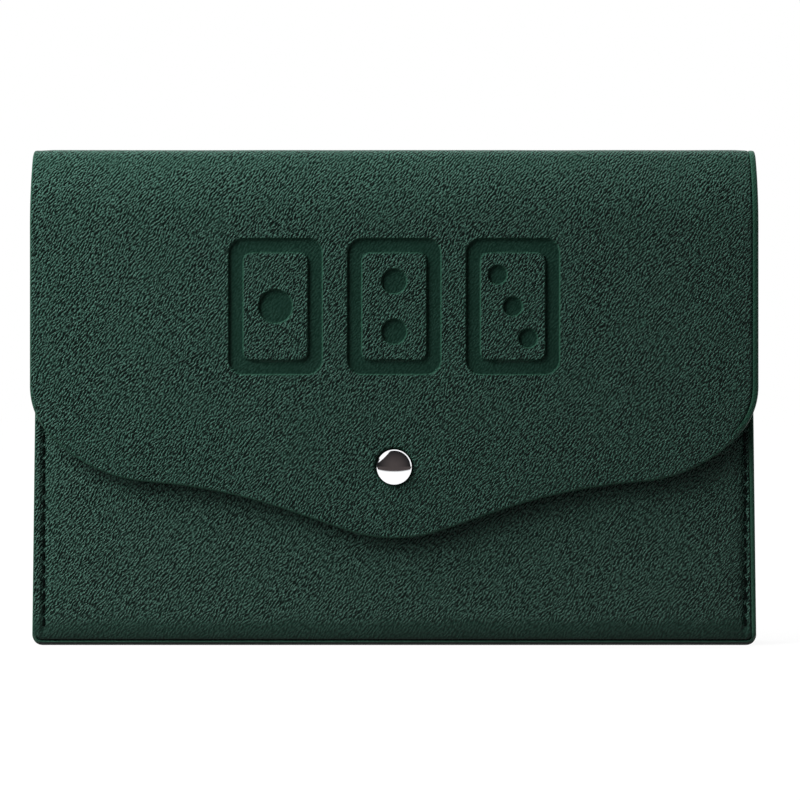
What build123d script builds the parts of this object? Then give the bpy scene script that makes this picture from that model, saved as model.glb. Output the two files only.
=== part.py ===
from build123d import *
import os
from math import acos, atan2, cos, radians, sin

# Card organizer case: an envelope pouch with a shaped flap and a press stud.
# Millimetres. X runs across the case, the front faces -Y, and Z is up.
# The origin is on the table, under the middle of the closed case.

# Closed case
case_width = 220.0
case_height = 151.0
case_depth = 18.5

# The three layers of every stiffened panel
leather_t = 1.0
board_t = 0.8
lining_t = 0.4
rim = 1.2

# Top of the case: back and flap lean together into a rounded fold
fold_r = 5.0
shoulder_height = 24.0
fold_gap = 0.2

# Lower edge of the flap, from the tip outwards: arcs by radius and slope in degrees
flap_drop = 118.3
tip_r = 44.3
tip_slope = 18.8
hollow_r = 174.0
hollow_slope = 4.3
lobe_r = 44.9
lobe_slope = 48.0
corner_r = 21.0
flap_edge_r = 0.7

# Front panel of the pouch
flap_gap = 1.2
mouth_drop = 24.0
front_mouth_inset = 1.6
panel_corner_r = 3.0
crown_margin = 5.6
crown_bottom = 4.0
crown_corner_r = 4.0
crown_slope = 62.0
crown_edge_r = 1.2
panel_edge_r = 0.45

# Side gussets and base
gusset_t = 0.8
gusset_inset = 2.0
gusset_bend_inset = 5.7
gusset_depth = 6.8
lining_inset = 7.6
base_strip_inset = 3.4
base_board_t = 0.8
base_board_margin = 14.0
base_board_gap = 0.3

# Divider and clear card pocket
divider_t = 0.8
divider_drop = 14.0
divider_gap = 0.2
notch_r = 12.0
pocket_width = 180.0
pocket_bottom = 8.0
pocket_height = 82.0
pocket_film_t = 0.3
pocket_weld_t = 0.4
pocket_weld_w = 3.0

# Press stud
stud_above_tip = 21.6
cap_r = 5.4
cap_rise = 2.1
cap_edge_t = 0.35
cap_post_r = 1.5
cap_flare_r = 2.0
cap_flare_t = 0.25
socket_r = 4.8
socket_height = 2.0
socket_wall = 0.3
chamber_r = 3.1
spring_wire = 0.4
spring_r = 2.6
spring_opening = 40.0
bulb_r = 2.0
neck_r = 1.7
bulb_top_gap = 0.2
stud_flange_r = 4.2
stud_seat_gap = 0.05
post_head_r = 4.0
post_rim_r = 3.2
post_head_t = 0.6
post_r = 1.2
post_fit = 0.05
snap_fit = 0.2
hole_fit = 0.1

# Saddle stitches along the two side seams
seam_inset = 3.5
seam_bottom = 5.7
stitch_pitch = 4.0
stitch_length = 2.9
stitch_width = 0.7
stitch_t = 0.35
stitch_bevel = 0.15

# Places that follow from the sizes above
sheet = leather_t + board_t + lining_t
tip_z = case_height - flap_drop
stud_z = tip_z + stud_above_tip
mouth_z = case_height - mouth_drop
half_width = case_width / 2
half_depth = case_depth / 2
back_y = (cap_rise + case_depth + stitch_t) / 2 - stitch_t
flap_y = back_y - case_depth
mid_y = (flap_y + back_y) / 2
front_y = flap_y + sheet + flap_gap
margin_y = front_y + board_t
front_seam_y = margin_y + leather_t
front_in_y = front_y + sheet
back_seam_y = back_y - leather_t
back_in_y = back_y - sheet
base_top = rim
pocket_depth = pocket_film_t + pocket_weld_t
divider_y = (front_in_y + post_head_t + back_in_y - pocket_depth) / 2
gusset_edge = half_width - gusset_inset
gusset_bend = half_width - gusset_bend_inset
gusset_apex = gusset_bend - gusset_depth
lining_half = half_width - lining_inset
seam_x = half_width - seam_inset

# The shoulder arc touches the upright face below and the fold arc above
shoulder_z = case_height - shoulder_height
fold_z = case_height - fold_r
shoulder_rise = fold_z - shoulder_z
shoulder_r = (shoulder_rise**2 / (half_depth - fold_r) + half_depth + fold_r) / 2
fold_turn = atan2(shoulder_rise, shoulder_r - half_depth)

# Cutters reach past the case by these, and edges are picked within the last
beyond = case_height
over = 1.0
near = 0.01


def box(x, y, z):
    """Block between two limits along each axis."""
    size = (x[1] - x[0], y[1] - y[0], z[1] - z[0])
    centre = ((x[0] + x[1]) / 2, (y[0] + y[1]) / 2, (z[0] + z[1]) / 2)
    return Pos(*centre) * Box(*size)


def across(outline):
    """Solid with the given YZ outline, over the whole width."""
    return extrude(Plane.YZ * outline, half_width + over, both=True)


def through(outline):
    """Solid with the given front view outline, through the whole depth."""
    return extrude(Plane.XZ * outline, case_depth * 2, both=True)


def about_stud(profile, turn=360.0):
    """Revolve a profile of radius and Y about the axis of the press stud."""
    face = Plane.XY * make_face(Polyline(*profile, close=True))
    return Pos(0, 0, stud_z) * revolve(face, Axis.Y, turn)


def stud_hole(radius):
    """Cutter on the axis of the press stud, through every layer."""
    return Pos(0, mid_y, stud_z) * Rot(90, 0, 0) * Cylinder(radius, case_depth * 2)


def layer_path(side, t):
    """Edges of the back (side 1) or flap (side -1) at depth t below its outer face."""
    def around(centre_y, centre_z, radius, angle):
        return (centre_y + side * radius * cos(angle), centre_z + radius * sin(angle))

    face = mid_y + side * (half_depth - t)
    arc_y = mid_y + side * (half_depth - shoulder_r)
    low = (face, 0)
    shoulder = (face, shoulder_z)
    shoulder_mid = around(arc_y, shoulder_z, shoulder_r - t, fold_turn / 2)
    turn = around(arc_y, shoulder_z, shoulder_r - t, fold_turn)
    end_turn = acos(fold_gap / 2 / (fold_r - t))
    fold_mid = around(mid_y, fold_z, fold_r - t, (fold_turn + end_turn) / 2)
    fold_end = around(mid_y, fold_z, fold_r - t, end_turn)
    return [
        Line(low, shoulder),
        ThreePointArc(shoulder, shoulder_mid, turn),
        ThreePointArc(turn, fold_mid, fold_end),
    ]


def layer(side, outer, inner):
    """Sheet of the back or flap between two depths, from the table to the fold."""
    upper = layer_path(side, outer)
    lower = layer_path(side, inner)
    ends = [Line(upper[0] @ 0, lower[0] @ 0), Line(upper[-1] @ 1, lower[-1] @ 1)]
    return across(make_face(upper + lower + ends))


def flap_outline():
    """Front view of the flap: scalloped lower edge, straight sides, open top."""
    tip, hollow, lobe = radians(tip_slope), radians(hollow_slope), radians(lobe_slope)
    arcs_width = tip_r * sin(tip) + hollow_r * (sin(tip) - sin(hollow))
    arcs_width += lobe_r * (sin(lobe) - sin(hollow)) + corner_r * (1 - sin(lobe))
    run = half_width - arcs_width

    def swing(start, radius, begin, end, bend):
        """Arc that runs outwards from start while its slope goes from begin to end."""
        def at(angle):
            x = start[0] + bend * radius * (sin(angle) - sin(begin))
            z = start[1] + bend * radius * (cos(begin) - cos(angle))
            return (x, z)
        return ThreePointArc(start, at((begin + end) / 2), at(end))

    tip_arc = swing((0, tip_z), tip_r, 0, tip, 1)
    tip_end = tip_arc @ 1
    hollow_start = (tip_end.X + run, tip_end.Y + run * sin(tip) / cos(tip))
    hollow_arc = swing(hollow_start, hollow_r, tip, hollow, -1)
    lobe_arc = swing(tuple(hollow_arc @ 1)[:2], lobe_r, hollow, lobe, 1)
    corner_arc = swing(tuple(lobe_arc @ 1)[:2], corner_r, lobe, radians(90), 1)
    half = Curve() + [
        tip_arc,
        Line(tip_end, hollow_start),
        hollow_arc,
        lobe_arc,
        corner_arc,
        Line(corner_arc @ 1, (half_width, beyond * 2)),
        Line((half_width, beyond * 2), (0, beyond * 2)),
    ]
    edges = half.edges() + mirror(half, Plane.YZ).edges()
    return make_face(edges)


def pouch_outline(top_half):
    """Front view of a pouch panel with rounded lower corners and an open top."""
    slope = (half_width - top_half) / mouth_z
    high_half = half_width - slope * beyond * 2
    corners = [
        (-half_width, 0),
        (half_width, 0),
        (high_half, beyond * 2),
        (-high_half, beyond * 2),
    ]
    outline = make_face(Polyline(*corners, close=True))
    return fillet(outline.vertices().sort_by(Axis.Y)[:2], panel_corner_r)


def panel_layers(side, outline):
    """Leather with turned edges, and the board and lining that lie inside them."""
    full = through(outline)
    inner = through(offset(outline, -rim))
    leather = layer(side, 0, sheet) & full
    leather -= layer(side, leather_t, sheet + over) & inner
    board = layer(side, leather_t, leather_t + board_t) & inner
    lining = layer(side, leather_t + board_t, sheet) & inner
    return leather, board, lining


def seam_zones(y):
    """Blocks at both side seams, below the mouth, where gusset flanges lie."""
    z = (-over, mouth_z)
    right = box((lining_half, half_width + over), y, z)
    return right + mirror(right, Plane.YZ)


def back_panel():
    """Back of the case with the shoulder that leans into the fold."""
    leather, board, lining = panel_layers(1, pouch_outline(half_width))
    seams = seam_zones((back_in_y - over, back_seam_y + over))
    return {"back_leather": leather, "back_board": board - seams, "back_lining": lining - seams}


def front_panel():
    """Front of the pouch: leather drawn over a board, flat along the seams."""
    outline = through(pouch_outline(half_width - front_mouth_inset))
    below_mouth = box((-half_width, half_width), (flap_y, back_y), (0, mouth_z))
    crown_half = half_width - crown_margin
    crown_face = Rectangle(2 * crown_half, 2 * beyond, align=(Align.CENTER, Align.MIN))
    crown_face = fillet(crown_face.vertices().sort_by(Axis.Y)[:2], crown_corner_r)
    crown_place = Plane((0, margin_y, crown_bottom), x_dir=(1, 0, 0), z_dir=(0, -1, 0))
    crown = extrude(crown_place * crown_face, board_t, taper=crown_slope)
    crown_run = board_t * sin(radians(crown_slope)) / cos(radians(crown_slope))

    margin = box((-half_width, half_width), (margin_y, front_seam_y), (0, mouth_z))
    hem = box((-lining_half, lining_half), (margin_y, front_in_y), (mouth_z - rim, mouth_z))
    leather = ((margin + crown) & below_mouth & outline) + hem
    crown_edges = leather.edges().filter_by_position(Axis.Y, front_y - near, front_y + near)
    leather = fillet(crown_edges.filter_by(lambda e: (e @ 0.5).Z < mouth_z - over), crown_edge_r)
    border = leather.edges().filter_by_position(Axis.Y, margin_y - near, margin_y + near)
    border = border.filter_by(lambda e: abs((e @ 0.5).X) > seam_x or (e @ 0.5).Z < over)
    leather = fillet(border, panel_edge_r)
    board_half = crown_half - crown_run
    board_low = crown_bottom + crown_run
    board = box((-board_half, board_half), (front_y + leather_t, front_seam_y), (board_low, mouth_z - rim))
    lining = box((-lining_half, lining_half), (front_seam_y, front_in_y), (base_top, mouth_z - rim))
    hole = stud_hole(post_r + hole_fit)
    return {
        "front_leather": leather - board - hole,
        "front_board": board - hole,
        "front_lining": lining - hole,
    }


def flap():
    """Flap from the fold down to its scalloped edge, with the holes for the stud."""
    leather, board, lining = panel_layers(-1, flap_outline())
    face_edges = leather.edges().filter_by_position(Axis.Y, flap_y - near, flap_y + near)
    leather = fillet(face_edges.filter_by(lambda e: e.bounding_box().min.Z < shoulder_z - over), flap_edge_r)
    leather -= stud_hole(cap_post_r + hole_fit)
    socket_hole = stud_hole(socket_r + snap_fit)
    return {
        "flap_leather": leather,
        "flap_board": board - socket_hole,
        "flap_lining": lining - socket_hole,
    }


def gussets():
    """Side walls that fold inwards, glued between the panels, inside the turned edge of the back."""
    front = front_seam_y + gusset_t / 2
    back = back_seam_y - gusset_t / 2
    path = Polyline(
        (gusset_edge, front),
        (gusset_bend, front),
        (gusset_apex, divider_y),
        (gusset_bend, back),
        (gusset_edge, back),
    )
    section = trace(path.edges(), gusset_t)
    right = extrude(Pos(0, 0, base_top) * section, mouth_z - base_top)
    right &= through(offset(pouch_outline(half_width), -rim))
    return {"right_gusset": right, "left_gusset": mirror(right, Plane.YZ)}


def base():
    """Flat strip that closes the bottom, and the board that lies on it."""
    strip_half = half_width - base_strip_inset
    strip = box((-strip_half, strip_half), (front_seam_y, back_in_y), (0, base_top))
    board_half = half_width - base_board_margin
    board_y = (front_in_y + base_board_gap, back_in_y - base_board_gap)
    board = box((-board_half, board_half), board_y, (base_top, base_top + base_board_t))
    return {"base_strip": strip, "base_board": board}


def divider():
    """Panel between the two compartments, with a thumb notch."""
    half = gusset_apex - gusset_t - divider_gap
    low = base_top + base_board_t
    high = mouth_z - divider_drop
    y = (divider_y - divider_t / 2, divider_y + divider_t / 2)
    panel = box((-half, half), y, (low, high))
    notch = Pos(0, divider_y, high) * Rot(90, 0, 0) * Cylinder(notch_r, divider_t * 3)
    return {"divider": panel - notch}


def card_pocket():
    """Clear film welded to the back lining along three sides."""
    half = pocket_width / 2
    high = pocket_bottom + pocket_height
    outer = box((-half, half), (back_in_y - pocket_depth, back_in_y), (pocket_bottom, high))
    inner_half = half - pocket_weld_w
    inner_y = (back_in_y - pocket_weld_t, back_in_y + over)
    inner = box((-inner_half, inner_half), inner_y, (pocket_bottom + pocket_weld_w, high + over))
    return {"card_pocket": outer - inner}


def press_stud():
    """Cap and spring socket on the flap, stud and post on the front panel."""
    seat = flap_y + leather_t
    socket_face = seat + socket_height
    floor = seat + socket_wall
    flare = floor + cap_flare_t
    edge = flap_y - cap_edge_t
    dome_rise = cap_rise - cap_edge_t
    dome_r = (cap_r**2 + dome_rise**2) / (2 * dome_rise)
    dome_turn = acos((dome_r - dome_rise) / dome_r)
    top = (0, flap_y - cap_rise)
    middle = (dome_r * sin(dome_turn / 2), top[1] + dome_r * (1 - cos(dome_turn / 2)))
    cap_line = Polyline(
        (cap_r, edge),
        (cap_r, flap_y),
        (cap_post_r, flap_y),
        (cap_post_r, floor),
        (cap_flare_r, floor),
        (cap_flare_r, flare),
        (0, flare),
        top,
    )
    dome = ThreePointArc(top, middle, (cap_r, edge))
    cap_face = make_face(cap_line.edges() + [dome])
    cap = Pos(0, 0, stud_z) * revolve(cap_face, Axis.Y, 360)

    mouth_r = bulb_r + snap_fit
    socket = about_stud([
        (cap_post_r + hole_fit, seat),
        (socket_r, seat),
        (socket_r, socket_face),
        (mouth_r, socket_face),
        (mouth_r, socket_face - socket_wall),
        (chamber_r, socket_face - socket_wall),
        (chamber_r, floor),
        (cap_post_r + hole_fit, floor),
    ])

    spring_y = socket_face - socket_wall - spring_wire
    spring = about_stud([
        (spring_r - spring_wire / 2, spring_y),
        (spring_r + spring_wire / 2, spring_y),
        (spring_r + spring_wire / 2, spring_y + spring_wire),
        (spring_r - spring_wire / 2, spring_y + spring_wire),
    ], 360 - spring_opening)

    bulb_top = flare + bulb_top_gap
    flange_y = socket_face + stud_seat_gap
    neck_y = (bulb_top + flange_y) / 2
    bore = post_r + post_fit
    stud = about_stud([
        (bore, bulb_top),
        ((bulb_r + bore) / 2, bulb_top),
        (bulb_r, (bulb_top + neck_y) / 2),
        (neck_r, neck_y),
        (neck_r, flange_y),
        (stud_flange_r, flange_y),
        (stud_flange_r, front_y),
        (bore, front_y),
    ])

    head_y = front_in_y + post_head_t
    post = about_stud([
        (0, bulb_top),
        (post_r, bulb_top),
        (post_r, front_in_y),
        (post_head_r, front_in_y),
        (post_head_r, front_in_y + post_head_t / 2),
        (post_rim_r, head_y),
        (0, head_y),
    ])
    return {
        "snap_cap": cap,
        "snap_socket": socket,
        "snap_spring": spring,
        "snap_stud": stud,
        "snap_post": post,
    }


def seam_stitches():
    """Rows of stitches on the front and back of both side seams."""
    top = mouth_z - stitch_pitch / 2
    count = int((top - seam_bottom) / stitch_pitch)
    pad = Pos(0, 0, stitch_t / 2) * Box(stitch_width, stitch_length, stitch_t)
    pad = chamfer(pad.faces().sort_by(Axis.Z)[-1].edges(), stitch_bevel)
    front_pad = Rot(90, 0, 0) * pad
    back_pad = Rot(-90, 0, 0) * pad

    def row(stitch, x, y):
        first = seam_bottom + stitch_length / 2
        places = [Pos(x, y, first + i * stitch_pitch) for i in range(count)]
        return Compound(children=[place * stitch for place in places])

    return {
        "left_front_stitches": row(front_pad, -seam_x, margin_y),
        "right_front_stitches": row(front_pad, seam_x, margin_y),
        "left_back_stitches": row(back_pad, -seam_x, back_y),
        "right_back_stitches": row(back_pad, seam_x, back_y),
    }


def main():
    os.makedirs("parts", exist_ok=True)
    nodes = {}
    for build in (
        back_panel,
        front_panel,
        flap,
        gussets,
        base,
        divider,
        card_pocket,
        press_stud,
        seam_stitches,
    ):
        nodes.update(build())
    for name, shape in nodes.items():
        shape.label = name
        export_step(shape, f"parts/{name}.step")
    print(len(nodes), "pieces")


main()
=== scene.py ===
import math

import bmesh
import bpy
import numpy as np
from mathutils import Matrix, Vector
from mathutils.geometry import delaunay_2d_cdt


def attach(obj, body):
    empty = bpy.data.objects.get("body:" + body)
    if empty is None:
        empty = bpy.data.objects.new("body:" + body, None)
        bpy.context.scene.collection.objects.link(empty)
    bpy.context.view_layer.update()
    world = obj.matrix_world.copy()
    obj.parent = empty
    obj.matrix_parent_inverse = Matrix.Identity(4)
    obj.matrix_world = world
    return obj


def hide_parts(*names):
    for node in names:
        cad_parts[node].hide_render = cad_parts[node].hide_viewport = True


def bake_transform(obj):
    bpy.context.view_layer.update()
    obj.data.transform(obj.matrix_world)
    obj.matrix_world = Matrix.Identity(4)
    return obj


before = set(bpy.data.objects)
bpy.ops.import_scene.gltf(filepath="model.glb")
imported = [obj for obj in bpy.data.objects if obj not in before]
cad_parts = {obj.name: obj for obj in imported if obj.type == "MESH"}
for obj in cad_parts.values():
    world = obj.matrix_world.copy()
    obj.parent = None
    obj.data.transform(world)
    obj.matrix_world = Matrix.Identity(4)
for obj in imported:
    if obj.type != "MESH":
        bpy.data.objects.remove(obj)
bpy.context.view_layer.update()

# Sizes in millimetres, as in the CAD model. Pieces are worked out in millimetres and made in metres.
MM = 0.001
HALF = 110.0
HEIGHT = 151.0
HALF_DEPTH = 9.25
MID_Y = 0.875
FLAP_Y = -8.375
BACK_Y = 10.125
LEATHER = 1.0
BOARD = 0.8
LINING = 0.4
SHEET = LEATHER + BOARD + LINING
RIM = 1.2
FOLD_R = 5.0
FOLD_Z = 146.0
SHOULDER_Z = 127.0
SHOULDER_R = 49.59779
TURN = 0.439557
MOUTH_Z = 127.0
MARGIN_Y = -4.175
FRONT_Y = -4.975
FRONT_SEAM_Y = -3.175
FRONT_IN_Y = -2.775
BACK_SEAM_Y = 9.125
DIVIDER_Y = 2.525
STUD_Z = 54.3
TIP_Z = 32.7
FRONT_INSET = 1.6
BOARD_HALF = 102.9
BOARD_LOW = 5.5
LINING_HALF = 102.35
SEAM_X = 106.5
SEAM_BOTTOM = 5.7
STITCH = 2.9
PITCH = 4.0
STITCH_COUNT = 29
CORNER_R = 3.0
GUSSET = 0.8
GUSSET_EDGE = 108.0
GUSSET_BEND = 104.3
GUSSET_APEX = 97.5

FOLD_LEN = FOLD_R * (math.pi / 2 - TURN)
TOP_LEN = FOLD_LEN + SHOULDER_R * TURN


def srgb(r, g, b):
    """Linear colour of an 8-bit screen colour."""
    def linear(c):
        c /= 255
        return c / 12.92 if c <= 0.04045 else ((c + 0.055) / 1.055) ** 2.4
    return (linear(r), linear(g), linear(b), 1.0)


def scaled(colour, share):
    """A linear colour made darker or lighter."""
    return (*(share * c for c in colour[:3]), 1.0)


# ---- Camera, floor, lamps and world ----

scene = bpy.context.scene
scene.view_settings.view_transform = "Standard"

camera_data = bpy.data.cameras.new("camera")
camera = bpy.data.objects.new("camera", camera_data)
scene.collection.objects.link(camera)
camera_data.lens = 89.5
camera_data.sensor_width = 36.0
camera_data.clip_start = 0.01
camera.location = (1.75 * MM, -608 * MM, 74.5 * MM)
camera.rotation_euler = (math.pi / 2, 0, 0)
scene.camera = camera


def lamp(name, at, aim, size, power):
    """Area lamp in metres and watts, which mirrors and gloss don't show."""
    data = bpy.data.lights.new(name, "AREA")
    data.shape = "RECTANGLE"
    data.size = data.size_y = size
    data.energy = power
    obj = bpy.data.objects.new(name, data)
    scene.collection.objects.link(obj)
    obj.location = at
    obj.visible_glossy = False
    obj.rotation_euler = (Vector(aim) - Vector(at)).to_track_quat("-Z", "Y").to_euler()


lamp("key", (-0.47, -0.22, 0.54), (0, 0, 0.06), 0.32, 7.3)
lamp("fill", (-0.42, -0.30, 0.24), (0, 0, 0.06), 0.3, 1.3)
lamp("top", (-0.1, 0.12, 0.90), (0, 0, 0.10), 0.5, 9.2)
lamp("side", (0.85, 0.10, 0.32), (0.1, 0, 0.07), 0.4, 2.6)
lamp("rear", (0.3, 0.9, 0.9), (0, 0, 0.07), 0.8, 4.0)


class Nodes:
    """Short way to build a node tree: call it with a node type, its settings and its inputs."""

    def __init__(self, tree):
        self.tree = tree
        tree.nodes.clear()

    def __call__(self, kind, inputs=None, **settings):
        node = self.tree.nodes.new(kind)
        for key, value in settings.items():
            setattr(node, key, value)
        for key, value in (inputs or {}).items():
            if isinstance(value, bpy.types.NodeSocket):
                self.tree.links.new(value, node.inputs[key])
            else:
                node.inputs[key].default_value = value
        return node

    def math(self, operation, a, b=0.0, c=0.0, clamp=False):
        node = self("ShaderNodeMath", {0: a, 1: b, 2: c}, operation=operation, use_clamp=clamp)
        return node.outputs[0]

    def mix(self, factor, a, b):
        node = self("ShaderNodeMix", {"Factor": factor}, data_type="RGBA")
        for socket, value in ((node.inputs[6], a), (node.inputs[7], b)):
            if isinstance(value, bpy.types.NodeSocket):
                self.tree.links.new(value, socket)
            else:
                socket.default_value = value
        return node.outputs[2]

    def ramp(self, value, low, high, out_low=0.0, out_high=1.0, smooth=True):
        kind = "SMOOTHSTEP" if smooth else "LINEAR"
        inputs = {"Value": value, "From Min": low, "From Max": high, "To Min": out_low, "To Max": out_high}
        return self("ShaderNodeMapRange", inputs, interpolation_type=kind).outputs[0]

    def seen_directly(self, path):
        """One for rays from the camera, also through clear film."""
        return self.math("MAXIMUM", path["Is Camera Ray"], path["Is Transmission Ray"])

    def vector(self, operation, *inputs, scale=None):
        inputs = dict(enumerate(inputs))
        if scale is not None:
            inputs["Scale"] = scale
        return self("ShaderNodeVectorMath", inputs, operation=operation).outputs

    def noise(self, at, scale, detail):
        return self("ShaderNodeTexNoise", {"Vector": at, "Scale": scale, "Detail": detail}).outputs

    def decimetres(self):
        """Place in the object's own frame, in decimetres."""
        at = self("ShaderNodeTexCoord").outputs["Object"]
        return self.vector("SCALE", at, scale=10.0)[0]

    def bump(self, height, strength, distance):
        inputs = {"Strength": strength, "Distance": distance, "Height": height}
        return self("ShaderNodeBump", inputs).outputs[0]

    def principled(self, colour, rough, normal, **inputs):
        inputs = {key.replace("_", " "): value for key, value in inputs.items()}
        inputs.update({"Base Color": colour, "Roughness": rough, "Normal": normal})
        shader = self("ShaderNodeBsdfPrincipled", inputs)
        self("ShaderNodeOutputMaterial", {"Surface": shader.outputs[0]})


def material(name):
    made = bpy.data.materials.new(name)
    made.use_nodes = True
    return made, Nodes(made.node_tree)


SOFTBOX = tuple(Vector((-1.0, 0, 1.0)).normalized())
RIM_LIGHT = (0.5, 0, 1.0)
DARK_WALL = srgb(82, 75, 74)
FAR_WALL = srgb(36, 36, 37)
WHITE_CARD = (1.35, 1.35, 1.35, 1)
AMBIENT = (0.032, 0.033, 0.034, 1)
WHITE = (1, 1, 1, 1)
BLACK = (0, 0, 0, 1)


def build_world():
    """White to the camera, dim to the diffuse light, and to gloss a dark room with two white cards."""
    world = bpy.data.worlds.new("studio")
    scene.world = world
    world.use_nodes = True
    n = Nodes(world.node_tree)
    path = n("ShaderNodeLightPath").outputs
    direction = n("ShaderNodeTexCoord").outputs["Generated"]
    split = n("ShaderNodeSeparateXYZ", {0: direction}).outputs
    lit = n.vector("DOT_PRODUCT", direction, RIM_LIGHT)["Value"]
    behind = n.ramp(split["Y"], -0.54, -0.48)
    aside = n.math("MULTIPLY", behind, n.ramp(lit, 0.0, 0.06))
    wall = n.mix(n.ramp(split["Y"], -1.0, -0.6, smooth=False), DARK_WALL, FAR_WALL)
    towards = n.vector("DOT_PRODUCT", direction, SOFTBOX)["Value"]
    box = n.math("MULTIPLY", n.ramp(towards, 0.708, 0.733), n.math("SUBTRACT", 1.0, behind))
    glossy = n.mix(n.math("MAXIMUM", aside, box), wall, WHITE_CARD)
    ambient = n.mix(path["Is Glossy Ray"], AMBIENT, glossy)
    colour = n.mix(n.seen_directly(path), ambient, WHITE)
    background = n("ShaderNodeBackground", {"Color": colour, "Strength": 1.0})
    n("ShaderNodeOutputWorld", {"Surface": background.outputs[0]})


def build_floor():
    """White table to the camera, dim to the diffuse light, and a white table in a dark room to gloss."""
    mesh = bpy.data.meshes.new("floor")
    side = 6.0
    corners = [(-side, -side, 0), (side, -side, 0), (side, side, 0), (-side, side, 0)]
    mesh.from_pydata(corners, [], [(0, 1, 2, 3)])
    floor = bpy.data.objects.new("floor", mesh)
    scene.collection.objects.link(floor)
    made, n = material("floor_white")
    path = n("ShaderNodeLightPath").outputs
    grey = n.mix(path["Is Glossy Ray"], (0.07, 0.07, 0.07, 1), BLACK)
    plain = n("ShaderNodeBsdfDiffuse", {"Color": grey}).outputs[0]
    at_floor = n("ShaderNodeNewGeometry").outputs["Position"]
    at = n("ShaderNodeSeparateXYZ", {0: at_floor}).outputs
    table = n.ramp(at["Y"], -0.23, -0.15)
    mirrored = n.mix(table, DARK_WALL, WHITE_CARD)
    shown = n.seen_directly(path)
    reach = n.vector("LENGTH", at_floor)["Value"]
    level = n.ramp(reach, 0.25, 1.1, 0.91, 1.0)
    white = n.mix(n.math("MULTIPLY", shown, level), BLACK, WHITE)
    seen = n.mix(path["Is Glossy Ray"], white, mirrored)
    lift = n("ShaderNodeEmission", {"Color": seen, "Strength": 1.0})
    both = n("ShaderNodeAddShader", {0: plain, 1: lift.outputs[0]})
    n("ShaderNodeOutputMaterial", {"Surface": both.outputs[0]})
    mesh.materials.append(made)


build_world()
build_floor()


# ---- Materials ----

# Colours of painted shade: near black for the cap's shadow, the foot groove and the bottom lip; dark for
# the foot of the front panel and its groove
PAINTED_DEEP_SHADE = srgb(5, 10, 8)
SHADED = srgb(3, 8, 5)
GRAIN_SLANT = -38


def grained_leather(name, sheet_map=True, main=(25, 50, 41), band=(39, 70, 57),
                    valley_shade=(4, 21, 16), ridge_highlight=(74, 108, 96)):
    """Dark green leather: fine pebbles drawn out into slanted wrinkles, smooth where it is pressed.

    Marks of the mesh: "smooth" calms the grain up to 1 and paints shade on it from 1 to 2. "edge" turns
    it into the smooth colour of an edge up to 1, paints near-black shade on it from 1 to 2 and paints shade
    below 0.
    """
    made, n = material(name)
    at = n("ShaderNodeUVMap", uv_map="Sheet").outputs[0] if sheet_map else n.decimetres()
    sway = n.noise(at, 13.0, 2.0)["Color"]
    pull = n.vector("SCALE", n.vector("SUBTRACT", sway, (0.5, 0.5, 0.5))[0], scale=0.011)[0]
    moved = n.vector("ADD", at, pull)[0]
    ripple = n("ShaderNodeTexGabor", {
        "Vector": moved, "Scale": 60.5, "Frequency": 2.0, "Anisotropy": 0.8,
    }, gabor_type="2D")
    ripple.inputs["Orientation"].default_value = math.radians(GRAIN_SLANT)
    phase = n.math("MULTIPLY", ripple.outputs["Phase"], 2 * math.pi)
    ridges = n.math("MULTIPLY_ADD", n.math("COSINE", phase), 0.5, 0.5)
    across = (0, 0, math.radians(-90 - GRAIN_SLANT))
    slanted = n("ShaderNodeMapping", {"Vector": moved, "Rotation": across}, vector_type="POINT")
    drawn = n.vector("MULTIPLY", slanted.outputs[0], (0.60, 1.0, 1.0))[0]
    cells = n("ShaderNodeTexVoronoi", {
        "Vector": drawn, "Scale": 140.0, "Randomness": 0.85, "Smoothness": 0.25,
    }, feature="SMOOTH_F1", voronoi_dimensions="2D").outputs["Distance"]
    pebbles = n.ramp(cells, 0.05, 0.75, 1.0, 0.0, smooth=False)
    height = n.math("MULTIPLY_ADD", ridges, 0.38, n.math("MULTIPLY", pebbles, 0.62))

    smooth = n("ShaderNodeAttribute", attribute_name="smooth").outputs["Fac"]
    edge = n("ShaderNodeAttribute", attribute_name="edge").outputs["Fac"]
    calm = n.math("MAXIMUM", smooth, edge, clamp=True)
    grain = n.math("MULTIPLY_ADD", calm, -0.82, 1.0)

    patch = n.noise(at, 3.2, 3.0)[0]
    relief = n.noise(at, 9.0, 2.0)[0]
    deep = n.math("MULTIPLY", grain, n.ramp(relief, 0.30, 0.65, 0.65, 1.0))
    base = n.mix(n.ramp(patch, 0.36, 0.64), scaled(srgb(*main), 0.94), scaled(srgb(*main), 1.06))
    # Painted shade in the grain's valleys and painted highlight on its ridges
    crease_shade_ridge_highlight = n.ramp(height, 0.25, 0.75, smooth=False)
    colour = n.mix(deep, base, n.mix(crease_shade_ridge_highlight, srgb(*valley_shade), srgb(*ridge_highlight)))
    colour = n.mix(edge, colour, srgb(*band))
    # Near-black painted shade: the cap's shadow, the dark groove and the bottom lip of the front panel
    colour = n.mix(n.ramp(edge, 1.0, 2.0), colour, PAINTED_DEEP_SHADE)
    shade = n.math("MAXIMUM", n.ramp(smooth, 1.0, 2.0), n.ramp(edge, 0.0, -1.0))
    colour = n.mix(shade, colour, SHADED)

    rough = n.math("MULTIPLY_ADD", relief, 0.12, 0.34)
    n.principled(colour, rough, n.bump(height, deep, 0.0014), Specular_IOR_Level=0.09, IOR=1.5)
    return made


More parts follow.
